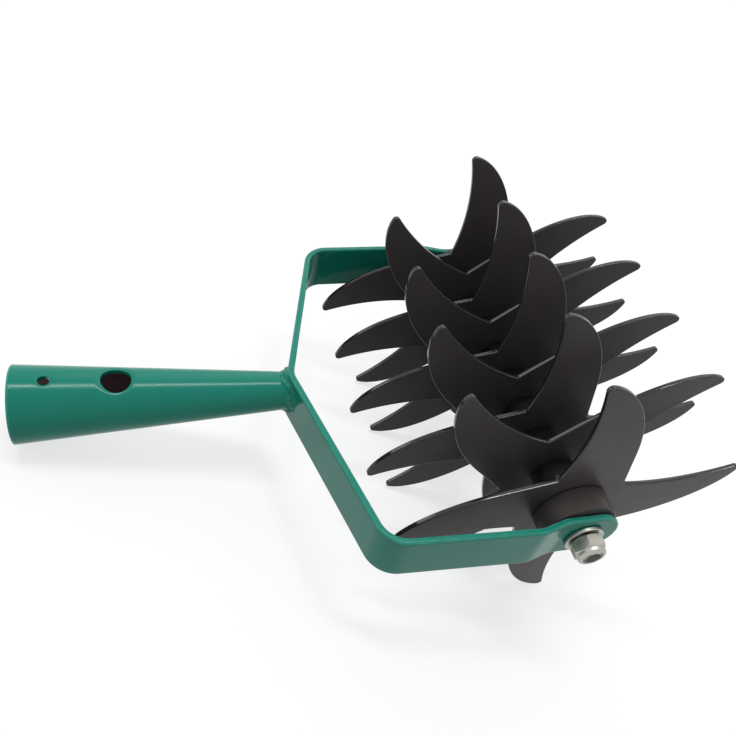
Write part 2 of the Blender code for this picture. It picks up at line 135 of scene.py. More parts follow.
def mesh_of(name, points, faces, marks=None):
    """A closed mesh, doubles merged and faces turned outwards; marks are values per point."""
    mesh = bpy.data.meshes.new(name)
    places = np.asarray(points, float).reshape(-1, 3).tolist()
    mesh.from_pydata(places, [], [list(face) for face in faces])
    for mark, values in (marks or {}).items():
        layer = mesh.attributes.new(mark, "FLOAT", "POINT")
        layer.data.foreach_set("value", np.asarray(values, np.float32).ravel())
    return merged(mesh, True)


def add_piece(mesh, body, material, stands_for, sharp=32):
    """Shows a mesh as a piece that rides on a body in place of one of the solids."""
    mesh.shade_smooth()
    mesh.set_sharp_from_angle(angle=math.radians(sharp))
    piece = bpy.data.objects.new(mesh.name, mesh)
    bpy.context.scene.collection.objects.link(piece)
    mesh.materials.clear()
    mesh.materials.append(material)
    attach(piece, body)
    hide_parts(stands_for)
    return piece


def cut(mesh, cutters):
    """The mesh with closed cutters taken out of it by an exact Boolean."""
    base = bpy.data.objects.new("base", mesh)
    bpy.context.scene.collection.objects.link(base)
    tools = [bpy.data.objects.new("cutter", cutter) for cutter in cutters]
    for tool in tools:
        bpy.context.scene.collection.objects.link(tool)
        tool.hide_render = True
        step = base.modifiers.new("cut", "BOOLEAN")
        step.operation, step.solver, step.object = "DIFFERENCE", "EXACT", tool
    depsgraph = bpy.context.evaluated_depsgraph_get()
    result = bpy.data.meshes.new_from_object(base.evaluated_get(depsgraph))
    result.name = mesh.name
    for thing in [base] + tools:
        bpy.data.objects.remove(thing, do_unlink=True)
    return merged(result, False)


print("a grid of 3 by 4 points has", len(grid_faces(3, 4)), "faces")

# %% [markdown]
# ## One way to make a finish
# Colours are written as they look on a screen, so one function turns them into the linear values
# that Blender mixes. A second small function adds any shader node with its settings and links.
# Each finish is built from three or four nodes: a noise for uneven gloss, a bump for the skin of
# the paint or the grain of the metal, and a mark on the mesh where edges are worn or where light
# or shade is painted in.

# %% Colours and shader nodes
SKIN_DEPTH = 0.01 * MM           # the bumps of paint and metal are at most this deep


def linear(colour):
    """sRGB hex to linear: c / 12.92 near black, and ((c + 0.055) / 1.055) ** 2.4 above it."""
    channels = np.array([int(colour[place:place + 2], 16) / 255 for place in (1, 3, 5)])
    curved = ((channels + 0.055) / 1.055) ** 2.4
    return (*np.where(channels <= 0.04045, channels / 12.92, curved), 1.0)


def add(tree, kind, inputs=None, **settings):
    """Adds a node: settings are its own properties, inputs are its sockets' values or links."""
    node = tree.nodes.new(kind)
    for key, value in settings.items():
        setattr(node, key, value)
    for key, value in (inputs or {}).items():
        if isinstance(value, bpy.types.NodeSocket):
            tree.links.new(value, node.inputs[key])
        else:
            node.inputs[key].default_value = value
    return node


def new_finish(name):
    """An empty material with its output and a Principled shader, and its node tree."""
    finish = bpy.data.materials.new(name)
    finish.use_nodes = True
    tree = finish.node_tree
    return finish, tree, tree.nodes["Principled BSDF"]


def speckle(tree, size_mm, detail=2.0, rough=0.5):
    """Noise whose blotches are about size_mm across, read in the object's own place."""
    place = add(tree, "ShaderNodeTexCoord").outputs["Object"]
    noise = {"Vector": place, "Scale": 1 / (size_mm * MM), "Detail": detail, "Roughness": rough}
    return add(tree, "ShaderNodeTexNoise", noise).outputs["Fac"]


def wander(tree, size_mm, from_value, to_value):
    """A value that goes from one to the other while speckles of that size go from 0.3 to 0.7."""
    spread = {"Value": speckle(tree, size_mm, 4), "From Min": 0.3, "From Max": 0.7,
              "To Min": from_value, "To Max": to_value}
    return add(tree, "ShaderNodeMapRange", spread).outputs["Result"]


print("linear value of the green:", [round(float(value), 3) for value in linear("#12826f")[:3]])

# %% [markdown]
# ## Green stoving enamel
# The socket, the weld and the yoke are sprayed with one green enamel and baked. It is glossy and
# opaque, with the faint orange-peel skin of sprayed paint, waves of 1.5 mm and a few microns
# deep. The colour is paler along the rounded edges: partly thinner paint there, partly a painted
# highlight for the bright line that the edges catch. A mark on the mesh says where, which stays
# right from every side. The spray does not reach far into the socket, so the mark "inside" shows the tube's dark
# brown mill scale.

# %% Green enamel
green, tree, shader = new_finish("green_stoving_enamel_on_steel")
cloud = speckle(tree, 18, 3)
edge_wear_and_highlight = add(tree, "ShaderNodeAttribute", attribute_name="edge_wear_and_highlight").outputs["Fac"]
body_colour = add(tree, "ShaderNodeMix", {"Factor": cloud, "A": linear("#12826f"),
                                          "B": linear("#188774")}, data_type="RGBA")
# Paler paint on the edges: partly thinner paint, partly a painted highlight.
edge_wear_and_highlight_share = add(tree, "ShaderNodeMath", {0: edge_wear_and_highlight, 1: wander(tree, 4, 0.3, 0.7)}, operation="MULTIPLY")
paint = add(tree, "ShaderNodeMix", {"Factor": edge_wear_and_highlight_share.outputs["Value"],
                                    "A": body_colour.outputs["Result"],
                                    "B": linear("#52ae9a")}, data_type="RGBA")
inside = add(tree, "ShaderNodeAttribute", attribute_name="inside").outputs["Fac"]
skinned = add(tree, "ShaderNodeMix", {"Factor": inside, "A": paint.outputs["Result"],
                                      "B": linear("#806a6e")}, data_type="RGBA")
tree.links.new(skinned.outputs["Result"], shader.inputs["Base Color"])
tree.links.new(wander(tree, 9, 0.15, 0.19), shader.inputs["Roughness"])
peel = add(tree, "ShaderNodeBump", {"Height": speckle(tree, 1.5, 1), "Strength": 0.2,
                                    "Distance": SKIN_DEPTH})
tree.links.new(peel.outputs["Normal"], shader.inputs["Normal"])
shader.inputs["IOR"].default_value = 1.26
print("green enamel has", len(tree.nodes), "nodes")

# %% [markdown]
# ## Satin black enamel
# The discs are stamped from 2 mm plate and dipped in black. That black is satin: it mirrors a pale
# floor as a broad grey sheen without outlines, and looks almost black where it faces other discs.
# It is faintly brown rather than blue. The stamped rims are painted darker than the flats, a
# painted shade that makes them vanish in the dark, and they are glossier, so they flash as thin
# lines where they face a lamp. A mark on the mesh says where the rims are.

# %% Black enamel
black, tree, shader = new_finish("satin_black_enamel_on_stamped_plate")
rim_shade_and_gloss = add(tree, "ShaderNodeAttribute", attribute_name="rim_shade_and_gloss").outputs["Fac"]
plate = add(tree, "ShaderNodeMix", {"Factor": speckle(tree, 14, 4, 0.6), "A": linear("#4e4947"),
                                    "B": linear("#575250")}, data_type="RGBA")
# The rims are painted darker than the flats: painted shade.
paint = add(tree, "ShaderNodeMix", {"Factor": rim_shade_and_gloss, "A": plate.outputs["Result"],
                                    "B": linear("#272526")}, data_type="RGBA")
tree.links.new(paint.outputs["Result"], shader.inputs["Base Color"])
gloss = add(tree, "ShaderNodeMix", {"Factor": rim_shade_and_gloss, "A": wander(tree, 10, 0.3, 0.38), "B": 0.12},
            data_type="FLOAT")
tree.links.new(gloss.outputs["Result"], shader.inputs["Roughness"])
grain = add(tree, "ShaderNodeBump", {"Height": speckle(tree, 2.5, 1), "Strength": 0.15,
                                     "Distance": SKIN_DEPTH})
tree.links.new(grain.outputs["Normal"], shader.inputs["Normal"])
depth = add(tree, "ShaderNodeMix", {"Factor": rim_shade_and_gloss, "A": 1.21, "B": 1.5}, data_type="FLOAT")
tree.links.new(depth.outputs["Result"], shader.inputs["IOR"])
print("black enamel has", len(tree.nodes), "nodes")

# %% [markdown]
# ## Bright zinc and nylon
# The bolt, washers and nut are zinc-plated, a bright metal with a slightly cloudy skin. The bolt's
# end face is coloured dark and made duller: a mark on the mesh says where, and it is nought on a
# piece that has no such mark. The nut's ring is natural nylon.

# %% Metals and nylon
zinc, tree, shader = new_finish("bright_zinc_plate_on_steel")
dark_end_face = add(tree, "ShaderNodeAttribute", attribute_name="dark_end_face").outputs["Fac"]
plating = add(tree, "ShaderNodeMix", {"Factor": speckle(tree, 5, 3), "A": linear("#a5a49b"),
                                      "B": linear("#b7b7b0")}, data_type="RGBA")
metal = add(tree, "ShaderNodeMix", {"Factor": dark_end_face, "A": plating.outputs["Result"],
                                    "B": linear("#45403f")}, data_type="RGBA")
tree.links.new(metal.outputs["Result"], shader.inputs["Base Color"])
dull = add(tree, "ShaderNodeMath", {0: dark_end_face, 1: 0.3, 2: wander(tree, 3, 0.3, 0.42)},
           operation="MULTIPLY_ADD")
tree.links.new(dull.outputs["Value"], shader.inputs["Roughness"])
shader.inputs["Metallic"].default_value = 1.0
skin = add(tree, "ShaderNodeBump", {"Height": speckle(tree, 0.6, 3), "Strength": 0.3,
                                    "Distance": SKIN_DEPTH})
tree.links.new(skin.outputs["Normal"], shader.inputs["Normal"])

nylon, tree, shader = new_finish("moulded_natural_nylon")
resin = add(tree, "ShaderNodeMix", {"Factor": speckle(tree, 2, 2), "A": linear("#d3d5cc"),
                                    "B": linear("#dfe1da")}, data_type="RGBA")
tree.links.new(resin.outputs["Result"], shader.inputs["Base Color"])
shader.inputs["Roughness"].default_value = 0.45
shader.inputs["IOR"].default_value = 1.53
print("finishes:", [finish.name for finish in (green, black, zinc, nylon)])

# %% [markdown]
# ## The yoke's line
# The yoke is one flat bar, so it could be drawn as a curve with a bevel object. A worked-out path
# is surer: the bar's outer face follows straight runs joined by arcs, and the arc that rounds a
# corner lies a fixed distance along the line that halves the angle. The arms end in a joggle, a
# small double bend that brings them in to the bolt.

# %% Straight runs and arcs
BAR_WIDTH, BAR_THICKNESS, BAR_EDGE, SEAT = 25.0, 3.0, 1.25, 0.3
APEX_BACK, CORNER_BACK, BEND_RADIUS, ARM_SPLAY = 113.6, 89.5, 14.0, math.radians(2.6)
JOGGLE_FROM, JOGGLE_TO, JOGGLE_DEPTH, JOGGLE_RADIUS, ARM_END = -23.0, -11.5, 3.0, 13.0, 16.6
washer_low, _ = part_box("bolt_washer")
ARM_OUTER = (washer_low.y - BOLT[1]) / MM - SEAT
ARM_WIDEST = ARM_OUTER + JOGGLE_DEPTH
CORNER_HALF = ARM_WIDEST - (CORNER_BACK + JOGGLE_FROM) * math.tan(ARM_SPLAY)


def rounded_corner(before, corner, after, radius, steps):
    """Centre = corner + bisector * radius / sin(half angle); the arc turns about it."""
    a, c, b = (np.array(point, float) for point in (before, corner, after))
    back, ahead = (a - c) / np.linalg.norm(a - c), (b - c) / np.linalg.norm(b - c)
    half = math.acos(float(back @ ahead)) / 2
    middle = c + (back + ahead) / np.linalg.norm(back + ahead) * radius / math.sin(half)
    first = c + back * radius / math.tan(half) - middle
    way = 1 if back[0] * ahead[1] - back[1] * ahead[0] < 0 else -1
    bend = way * (math.pi - 2 * half) * np.linspace(0, 1, steps + 1)
    turns = math.atan2(first[1], first[0]) + bend
    spokes = np.column_stack((np.cos(turns), np.sin(turns)))
    return middle + radius * spokes, way * spokes


# Each knot: its place, the radius of its bend and the steps of that arc
far_knots = [((ARM_END, ARM_OUTER), 0, 0), ((JOGGLE_TO, ARM_OUTER), JOGGLE_RADIUS, 8),
             ((JOGGLE_FROM, ARM_WIDEST), JOGGLE_RADIUS + BAR_THICKNESS, 8),
             ((-CORNER_BACK, CORNER_HALF), BEND_RADIUS, 24)]
knots = far_knots + [((-APEX_BACK, 0.0), BEND_RADIUS, 12)]
knots += [((x, -y), radius, steps) for (x, y), radius, steps in reversed(far_knots)]
bends = [rounded_corner(before[0], here[0], after[0], here[1], here[2])
         for before, here, after in zip(knots, knots[1:], knots[2:])]
bar_line = np.vstack([points for points, _ in bends])
bar_normals = np.vstack([normals for _, normals in bends])
v_back = bar_line[bar_line[:, 0] < -CORNER_BACK]
arms = round(2 * ARM_OUTER, 2)
print("the bar's line has", len(bar_line), "points; arms", arms, "mm over their ends")

# %% [markdown]
# ## The yoke's bar
# Flat bar leaves the rolling mill with well rounded edges, here 1.25 mm, and thick paint softens
# them further. So the section is a rectangle with four small arcs, and it is carried along the
# line. The arms' ends are cut round: there the section's half width shrinks as the sine of an
# angle, which makes the half circle, and a strip of narrow faces across the bar closes it.
# One more point lies just inside each arc on the flat faces. Smooth shading spreads the bend of
# the arc's last face as far as the next point, so without it the flat bar would look bulged.

# %% Carry the section along the line
GUARD, END_STEPS = 0.2, 22
corner = np.radians([0, 0, 22.5, 45, 67.5, 90])
inset = BAR_EDGE * (1 - np.sin(corner)) + GUARD * (np.arange(len(corner)) == 0)
turn_of = np.concatenate((corner, corner[::-1], corner, corner[::-1]))
ROUND = len(turn_of)             # points round the section
rounding = np.concatenate((inset, inset[::-1], inset, inset[::-1]))
depth = BAR_EDGE * (1 - np.cos(turn_of))
inner_face = slice(ROUND // 4, 3 * ROUND // 4)
depth[inner_face] = BAR_THICKNESS - depth[inner_face]
side = np.repeat([1, -1], ROUND // 2)
rounds = np.radians(np.linspace(6, 90, END_STEPS))
end_x = ARM_END - BAR_WIDTH / 2 * (1 - np.cos(rounds))
far_end = np.column_stack((end_x, np.full(END_STEPS, ARM_OUTER)))
line = np.vstack((far_end, bar_line, far_end[::-1] * (1, -1)))
far_normals, near_normals = np.tile((0, 1), (END_STEPS, 1)), np.tile((0, -1), (END_STEPS, 1))
normals = np.vstack((far_normals, bar_normals, near_normals))
slant = np.concatenate((rounds, np.full(len(bar_line), math.pi / 2), rounds[::-1]))
flat = line[:, None, :] - normals[:, None, :] * depth[None, :, None]
flat[:, :, 0] -= np.cos(slant)[:, None] * rounding[None, :]
height = side * (BAR_WIDTH / 2 - rounding) * np.sin(slant)[:, None]
bar = np.concatenate((flat, height[:, :, None]), axis=2)
# This edge mark makes the green paler on the rounded edges: thinner paint and a painted highlight.
on_corner = np.tile(np.sin(2 * turn_of), (len(line), 1))
across = np.arange(ROUND // 2 - 1)[:, None]
cap = np.hstack((across, across + 1, ROUND - 2 - across, ROUND - 1 - across))
far_cap = cap + ROUND * (len(line) - 1)
faces = np.vstack((grid_faces(len(line), ROUND, False, True), cap, far_cap))
yoke = mesh_of("yoke_bar", in_scene(bar), faces, {"edge_wear_and_highlight": on_corner})
print("bar", len(yoke.polygons), "faces")

# %% [markdown]
# ## The bolt's holes
# The bolt passes through both arms and through all nine discs. Turned shapes are common here, so
# one function turns a profile about the bolt or about the socket's middle line. A long turned rod
# is the drill, and a Boolean takes it out of the yoke.

# %% Turned shapes, and the drill
BOLT_RADIUS, HOLE_RADIUS, DRILL_REACH, DRILL_SIDES = 4.0, 4.3, 99, 64


def spun(profile, sides, axis="bolt"):
    """Turns (along, radius) pairs about an axis: the others are radius * cos and radius * sin."""
    turns = 2 * math.pi * np.arange(sides)[:, None] / sides
    along, radius = np.array(profile, float).T
    along = along[None, :] + 0 * turns
    across, up = radius * np.cos(turns), radius * np.sin(turns)
    return np.stack((across, along, up) if axis == "bolt" else (along, across, up), axis=-1)


rod = spun([(-DRILL_REACH, 0), (-DRILL_REACH, HOLE_RADIUS), (DRILL_REACH, HOLE_RADIUS),
            (DRILL_REACH, 0)], DRILL_SIDES)
drill = mesh_of("drill", in_scene(rod), grid_faces(DRILL_SIDES, 4, True))
yoke = cut(yoke, [drill])
add_piece(yoke, "frame", green, "yoke")
print("yoke", len(yoke.polygons), "faces")

# %% [markdown]
# ## The socket
# The socket is a tube swaged to a taper. Its wall is 1.8 mm, its mouth has a softened lip, and
# its neck is shaped to sit on the yoke's V. A turned profile does all of that: the last points
# of each side follow the V's back, whose place depends on how far across the tool they lie. The
# two round holes, a small one for the screw and a large one for a spring button, are then cut.

# %% Taper, lip and neck
SOCKET_LENGTH, MOUTH_RADIUS, NECK_RADIUS, WALL, LIP = 111.7, 16.5, 8.7, 1.8, 0.4
SOCKET_SIDES, FINE_UNTIL, FINE_STEP, COARSE_ROWS = 192, 52, 0.7, 22
LAST_ROW, NECK_INSET = 5, 3      # both measured back from the point of the V
MOUTH_BACK = APEX_BACK + SOCKET_LENGTH


def taper(along):
    """Outer radius = neck + (mouth - neck) * distance from the V's point / length."""
    return NECK_RADIUS + (MOUTH_RADIUS - NECK_RADIUS) * (-APEX_BACK - along) / SOCKET_LENGTH


def v_place(across):
    """How far back the V's outer face lies, at places across the tool."""
    return np.interp(across, v_back[::-1, 1], v_back[::-1, 0])


lip = np.radians([90, 60, 30, 0])
coarse = np.linspace(FINE_UNTIL, SOCKET_LENGTH - LAST_ROW, COARSE_ROWS)
straight = np.concatenate((np.arange(LIP, FINE_UNTIL, FINE_STEP), coarse)) - MOUTH_BACK
profile = [(-MOUTH_BACK + LIP * (1 - math.sin(turn)), MOUTH_RADIUS - LIP * (1 - math.cos(turn)))
           for turn in lip]
profile += [(along, taper(along)) for along in straight[1:]]
neck_from = len(profile)
neck_radius = taper(-APEX_BACK + NECK_INSET)
profile += [(-APEX_BACK, neck_radius), (-APEX_BACK, neck_radius - WALL)]
profile += [(along, taper(along) - WALL) for along in straight[:0:-1]]
profile += [(-MOUTH_BACK, MOUTH_RADIUS - WALL)]
tube = spun(profile, SOCKET_SIDES, "socket")
for column in (neck_from, neck_from + 1):
    tube[:, column, 0] = v_place(tube[:, column, 1]) - SEAT
print("socket's profile has", len(profile), "points")

# %% [markdown]
# ## Screw hole and button hole
# Both holes were punched from above, the small one 5 and the large one 2 degrees off the upright.
# A punch drags the metal down, so the wall dips towards each hole, and that rounded rim catches
# the lamp. The dip is worked out first, on the tube's own grid. Then a turned rod is set on end
# and taken out: the rod's length becomes the height, and its round section lies along and across
# the socket.

# %% Dip and punch both holes
HOLES = ((13.3, 2.3, 5), (40.3, 6.1, 2))     # from the mouth, radius, degrees off the upright
DIP_DEPTH, DIP_WIDTH = 0.08, 0.35            # both as a share of the hole's radius
PUNCH_LENGTH, PUNCH_SIDES = 40, 72
punches = []
for inset, radius, lean in HOLES:
    lean_cos, lean_sin = math.cos(math.radians(lean)), math.sin(math.radians(lean))
    aside = tube[..., 1] * lean_cos + tube[..., 2] * lean_sin
    above = tube[..., 2] * lean_cos - tube[..., 1] * lean_sin > 0
    past = np.hypot(tube[..., 0] + MOUTH_BACK - inset, aside) - radius
    closeness = np.clip(1 - past / (DIP_WIDTH * radius), 0, 1)
    dip = DIP_DEPTH * radius * closeness ** 2 * above
    tube[..., 1:] *= (1 - dip / np.hypot(tube[..., 1], tube[..., 2]))[..., None]
    punch = spun([(0, 0), (0, radius), (PUNCH_LENGTH, radius), (PUNCH_LENGTH, 0)], PUNCH_SIDES)
    ahead, rise, across = np.moveaxis(punch, -1, 0)
    rod = np.stack((ahead + inset - MOUTH_BACK, across * lean_cos - rise * lean_sin,
                    across * lean_sin + rise * lean_cos), axis=-1)
    punches.append(mesh_of("punch", in_scene(rod), grid_faces(PUNCH_SIDES, 4, True)))
profile_marks = {"edge_wear_and_highlight": [1] * len(lip) + [0] * (len(profile) - len(lip) - 1) + [1],
                 "inside": [0] * (neck_from + 2) + [1] * (len(profile) - neck_from - 3) + [0]}
marks = {mark: np.tile(np.array(values, float), (SOCKET_SIDES, 1))
         for mark, values in profile_marks.items()}
tube_faces = grid_faces(SOCKET_SIDES, len(profile), True, True)
socket = cut(mesh_of("socket_tube", in_scene(tube), tube_faces, marks), punches)
add_piece(socket, "frame", green, "socket")
print("socket", len(socket.polygons), "faces")

# %% [markdown]
# ## The weld bead
# A hand-laid weld fills the corner between tube and bar. Its section is a hollow fillet: straight
# from toe to toe, less a bow of 0.3 mm. It is never even, so two sets of slanting waves raise and
# lower its surface by up to half a millimetre, and slower waves shift both toes. The toes sink
# 0.05 mm into tube and bar, so that no line of light shows between.

# %% The bead
WELD_SIDES, CROWN_STEPS, WELD_RADIUS, WELD_ON_NECK = 192, 17, 11.3, 3.3
TOE_SINK, FOOT_SINK = 0.05, 0.4
turns = 2 * math.pi * np.arange(WELD_SIDES) / WELD_SIDES
uneven = 0.5 * np.sin(3 * turns + 1) + 0.3 * np.sin(7 * turns)
inner, outer = NECK_RADIUS + SEAT, WELD_RADIUS + 0.2 * uneven
bar_back = v_place(outer * np.cos(turns)) - SEAT
neck_back = v_place(inner * np.cos(turns)) - SEAT
top = neck_back - WELD_ON_NECK - 0.4 * uneven
toe_neck = np.column_stack((top, taper(top) - TOE_SINK))
toe_bar = np.column_stack((bar_back + SEAT + TOE_SINK, outer))
chord = toe_neck - toe_bar
bulge = np.column_stack((chord[:, 1], -chord[:, 0])) / np.linalg.norm(chord, axis=1)[:, None]
share = np.linspace(0, 1, CROWN_STEPS)[None, :]
round_it = turns[:, None]
waves = 0.5 * np.sin(8 * round_it + 7 * share) + 0.5 * np.sin(13 * round_it - 6 * share + 1)
swell = (0.55 * waves - 0.3) * 4 * share * (1 - share)
crown = (toe_bar[:, None, :] + chord[:, None, :] * share[..., None]
         + bulge[:, None, :] * swell[..., None])
foot = np.column_stack((neck_back, np.full(WELD_SIDES, inner - FOOT_SINK)))[:, None, :]
section = np.concatenate((foot, crown), axis=1)
spread = section[..., 1]
bead = np.stack((section[..., 0], spread * np.cos(round_it), spread * np.sin(round_it)), axis=-1)
weld = mesh_of("weld_bead", in_scene(bead), grid_faces(WELD_SIDES, section.shape[1], True, True))
add_piece(weld, "frame", green, "socket_weld", 50)
print("weld", len(weld.polygons), "faces")

# %% [markdown]
# ## The star discs
# Each disc is a four-pointed star stamped from plate. A tooth's back is straight near the middle,
# then a quarter of an ellipse; its hollow side is an arc; a small circle that touches both rounds
# the tip. The place of that circle is found by halving. The ellipse by itself would end 82.6 mm
# from the bolt, and with its round tip the tooth reaches 81.5 mm. The same outline serves every
# disc: the second, fourth, sixth and eighth are turned over, so their hooks point the other way.

# %% One tooth
REACH, FLANK, BELLY_START, BELLY_OFFSET = 82.6, 23.6, 31.9, 2.8
HOLLOW_RADIUS, HOLLOW_FROM, HOLLOW_SINK, TIP_RADIUS, VALLEY_RADIUS = 114.0, 67.8, 1.0, 2.0, 1.6
HALVINGS, BELLY_STEPS, NOSE_STEPS, HOLLOW_STEPS, VALLEY_STEPS = 40, 36, 13, 30, 6
HUB = np.array((HOLLOW_FROM, HOLLOW_RADIUS - HOLLOW_SINK))


def belly(share):
    """x = start + (reach - start) * sin and y = offset - (flank + offset) * cos, a quarter turn."""
    turn = np.asarray(share) * math.pi / 2
    along, across = REACH - BELLY_START, FLANK + BELLY_OFFSET
    point = np.stack((BELLY_START + along * np.sin(turn), BELLY_OFFSET - across * np.cos(turn)),
                     axis=-1)
    slope = np.stack((np.sin(turn) / along, -np.cos(turn) / across), axis=-1)
    return point, slope / np.linalg.norm(slope, axis=-1, keepdims=True)


low, high = 0.0, 1.0
for _ in range(HALVINGS):
    share = (low + high) / 2
    point, slope = belly(share)
    tip = point - TIP_RADIUS * slope
    too_far = np.linalg.norm(tip - HUB) > HOLLOW_RADIUS + TIP_RADIUS
    low, high = (share, high) if too_far else (low, share)
to_hub = (HUB - tip) / np.linalg.norm(HUB - tip)
nose_from, nose_to = math.atan2(slope[1], slope[0]), math.atan2(to_hub[1], to_hub[0])
nose_turns = np.linspace(nose_from, nose_to, NOSE_STEPS)[1:]
nose = tip + TIP_RADIUS * np.column_stack((np.cos(nose_turns), np.sin(nose_turns)))
swing_from = math.asin((nose[-1, 0] - HOLLOW_FROM) / HOLLOW_RADIUS)
swing_to = math.asin((FLANK - HOLLOW_FROM) / HOLLOW_RADIUS)
swing = np.linspace(swing_from, swing_to, HOLLOW_STEPS)
hollow = HUB + HOLLOW_RADIUS * np.column_stack((np.sin(swing), -np.cos(swing)))
valley, _ = rounded_corner(hollow[-2], hollow[-1], (hollow[-1, 0], BELLY_START), VALLEY_RADIUS,
                           VALLEY_STEPS)
belly_points, _ = belly(share * np.linspace(0, 1, BELLY_STEPS))
tooth = np.vstack((belly_points, nose, hollow[1:-1], valley))
quarters = np.radians([0, 90, 180, 270])[:, None]
star_x = tooth[:, 0] * np.cos(quarters) - tooth[:, 1] * np.sin(quarters)
star_y = tooth[:, 0] * np.sin(quarters) + tooth[:, 1] * np.cos(quarters)
star = np.stack((star_x, star_y), axis=-1).reshape(-1, 2)
farthest = float(np.linalg.norm(nose, axis=1).max())
print("tooth of", len(tooth), "points, tip", round(farthest, 2), "mm from the bolt")

# %% [markdown]
# ## Nine discs from one outline
# A stamped edge is slightly rounded, so the outline is repeated in ten rings: each lies a little
# further in or out, along the outline's own normal, as an arc of 0.3 mm asks. The first and the
# last ring lie just inside the arcs and keep the flat faces flat to the eye. Two large faces
# close the disc, since spokes to the middle would fold over at a hooked tip. The drill follows.

# %% Rings, faces and places of the discs
DISC_THICKNESS, DISC_EDGE, SET_LAG, ROTOR_TURN, DISCS = 2.0, 0.3, 30.5, -1.0, 9
ahead = np.roll(star, -1, axis=0) - np.roll(star, 1, axis=0)
outward = np.column_stack((ahead[:, 1], -ahead[:, 0])) / np.linalg.norm(ahead, axis=1)[:, None]
bevel = np.radians([90, 60, 30, 0])
steps = [(DISC_EDGE + GUARD, DISC_THICKNESS / 2)]
steps += [(DISC_EDGE * (1 - math.cos(turn)), DISC_THICKNESS / 2 - DISC_EDGE * (1 - math.sin(turn)))
          for turn in bevel]
steps += [(inset, -place) for inset, place in reversed(steps)]
count, rings = len(star), len(steps)
layers = np.stack([np.column_stack((star - outward * inset, np.full(count, place)))
                   for inset, place in steps])
# The rim rings get the mark that paints them darker, as painted shade, and glossier.
rim_shade_and_gloss_mark = np.repeat([0, 0, 1, 1, 1, 1, 1, 1, 0, 0], count)
faces = [*grid_faces(rings, count, False, True), list(range(count)),
         list(range((rings - 1) * count, rings * count))]
for number in range(1, DISCS + 1):
    flipped = number % 2 == 0
    lean = math.radians((90 - SET_LAG) / 2 * (-1 if flipped else 1) + ROTOR_TURN)
    axes = np.array(((math.cos(lean), 0, math.sin(lean)), (0, 1, 0),
                     (-math.sin(lean), 0, math.cos(lean))))
    low_corner, high_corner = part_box(f"star_disc_{number}")
    middle = ((low_corner.y + high_corner.y) / 2 - BOLT[1]) / MM
    upward = layers[..., 1] * (-1 if flipped else 1)
    points = np.stack((layers[..., 0], middle + layers[..., 2], upward), axis=-1)
    plate_mesh = mesh_of(f"disc_{number}", in_scene(points, axes), faces, {"rim_shade_and_gloss": rim_shade_and_gloss_mark})
    disc = cut(plate_mesh, [drill])
    add_piece(disc, "rotor", black, f"star_disc_{number}", 40)
print("discs:", len(disc.polygons), "faces each")

# %% [markdown]
# ## Bolt, washers and nut
# These are standard M8 parts. A hexagon with turned-off corners is the smaller of two radii at
# each angle and height: the flat's, half the width over the cosine, and the cone's, which grows
# inwards from the end. The thread is a radius that runs up and down once in each 1.25 mm of pitch
# while it goes once round, so its ridge is a helix.

# %% Hexagons
ACROSS_FLATS, FLAT_RING, NUT_TURN, SIDES = 13.0, 6.1, math.radians(22.5), 144
UNCUT = 99.0                     # so far from the end that the cone takes nothing off


def hexagon(levels, low_end, high_end):
    """Radius = the lesser of flats / (2 cos angle) and ring + distance from the end / tan 30."""
    turns = np.radians(np.arange(0, 360, 360 / SIDES))[:, None]
    flat = ACROSS_FLATS / 2 / np.cos((turns - NUT_TURN + math.pi / 6) % (math.pi / 3) - math.pi / 6)
    uncut = np.full((1, len(levels)), UNCUT)
    from_low = uncut if low_end is None else levels[None, :] - low_end
    from_end = np.minimum(from_low, high_end - levels[None, :])
    cone = from_end / math.tan(math.radians(30)) + FLAT_RING
    radius = np.minimum(flat, np.maximum(cone, FLAT_RING))
    along = levels[None, :] + 0 * turns
    return np.stack((radius * np.cos(turns), along, radius * np.sin(turns)), axis=-1)


WASHER_THICKNESS = 1.6
SEAT_Y = ARM_OUTER + SEAT + WASHER_THICKNESS + SEAT
NUT_HEX, NUT_HEIGHT, COLLAR, ROLL, MOUTH = 5.8, 8.0, 6.2, 1.3, 4.65
MOUTH_DEPTH, GROOVE_DEPTH, GROOVE_RADIUS = 0.6, 2.3, 5.5     # the groove holds the nylon ring
roll_turns = np.radians([0, 15, 30, 45, 60, 75, 90])
collar = [(NUT_HEX - 0.05, COLLAR)]
collar += [(NUT_HEIGHT - ROLL * (1 - math.sin(turn)), COLLAR - ROLL * (1 - math.cos(turn)))
           for turn in roll_turns]
mouth = [(NUT_HEIGHT - 0.05, MOUTH + 0.1), (NUT_HEIGHT - 0.2, MOUTH),
         (NUT_HEIGHT - MOUTH_DEPTH, MOUTH)]
groove = [(NUT_HEIGHT - MOUTH_DEPTH, GROOVE_RADIUS), (NUT_HEIGHT - GROOVE_DEPTH, GROOVE_RADIUS),
          (NUT_HEIGHT - GROOVE_DEPTH, HOLE_RADIUS)]
wall_levels = np.array([0, 0.15, 0.3, 0.5, 0.75, 1.0, 4.8, 5.05, 5.3, 5.5, 5.65, NUT_HEX])
wall = hexagon(wall_levels, 0.0, NUT_HEX)
bore, inside_nut = spun([(0, HOLE_RADIUS)], SIDES), spun(collar + mouth + groove, SIDES)
nut_grid = np.concatenate((bore, wall, inside_nut), axis=1)
nut_grid[..., 1] = -(nut_grid[..., 1] + SEAT_Y)
nut = mesh_of("lock_nut_body", in_scene(nut_grid), grid_faces(SIDES, nut_grid.shape[1], True, True))
add_piece(nut, "frame", zinc, "lock_nut", 28)
print("nut", len(nut.polygons), "faces")

# %% [markdown]
# ## The threaded bolt
# The long bolt runs from a hexagon head at the far arm to its cut end, 0.2 mm past the nut. Only
# the last 22 mm carry a thread, and it fades into the plain shank. Its profile is a triangle wave
# with a flat crest and root, as rolled threads have.

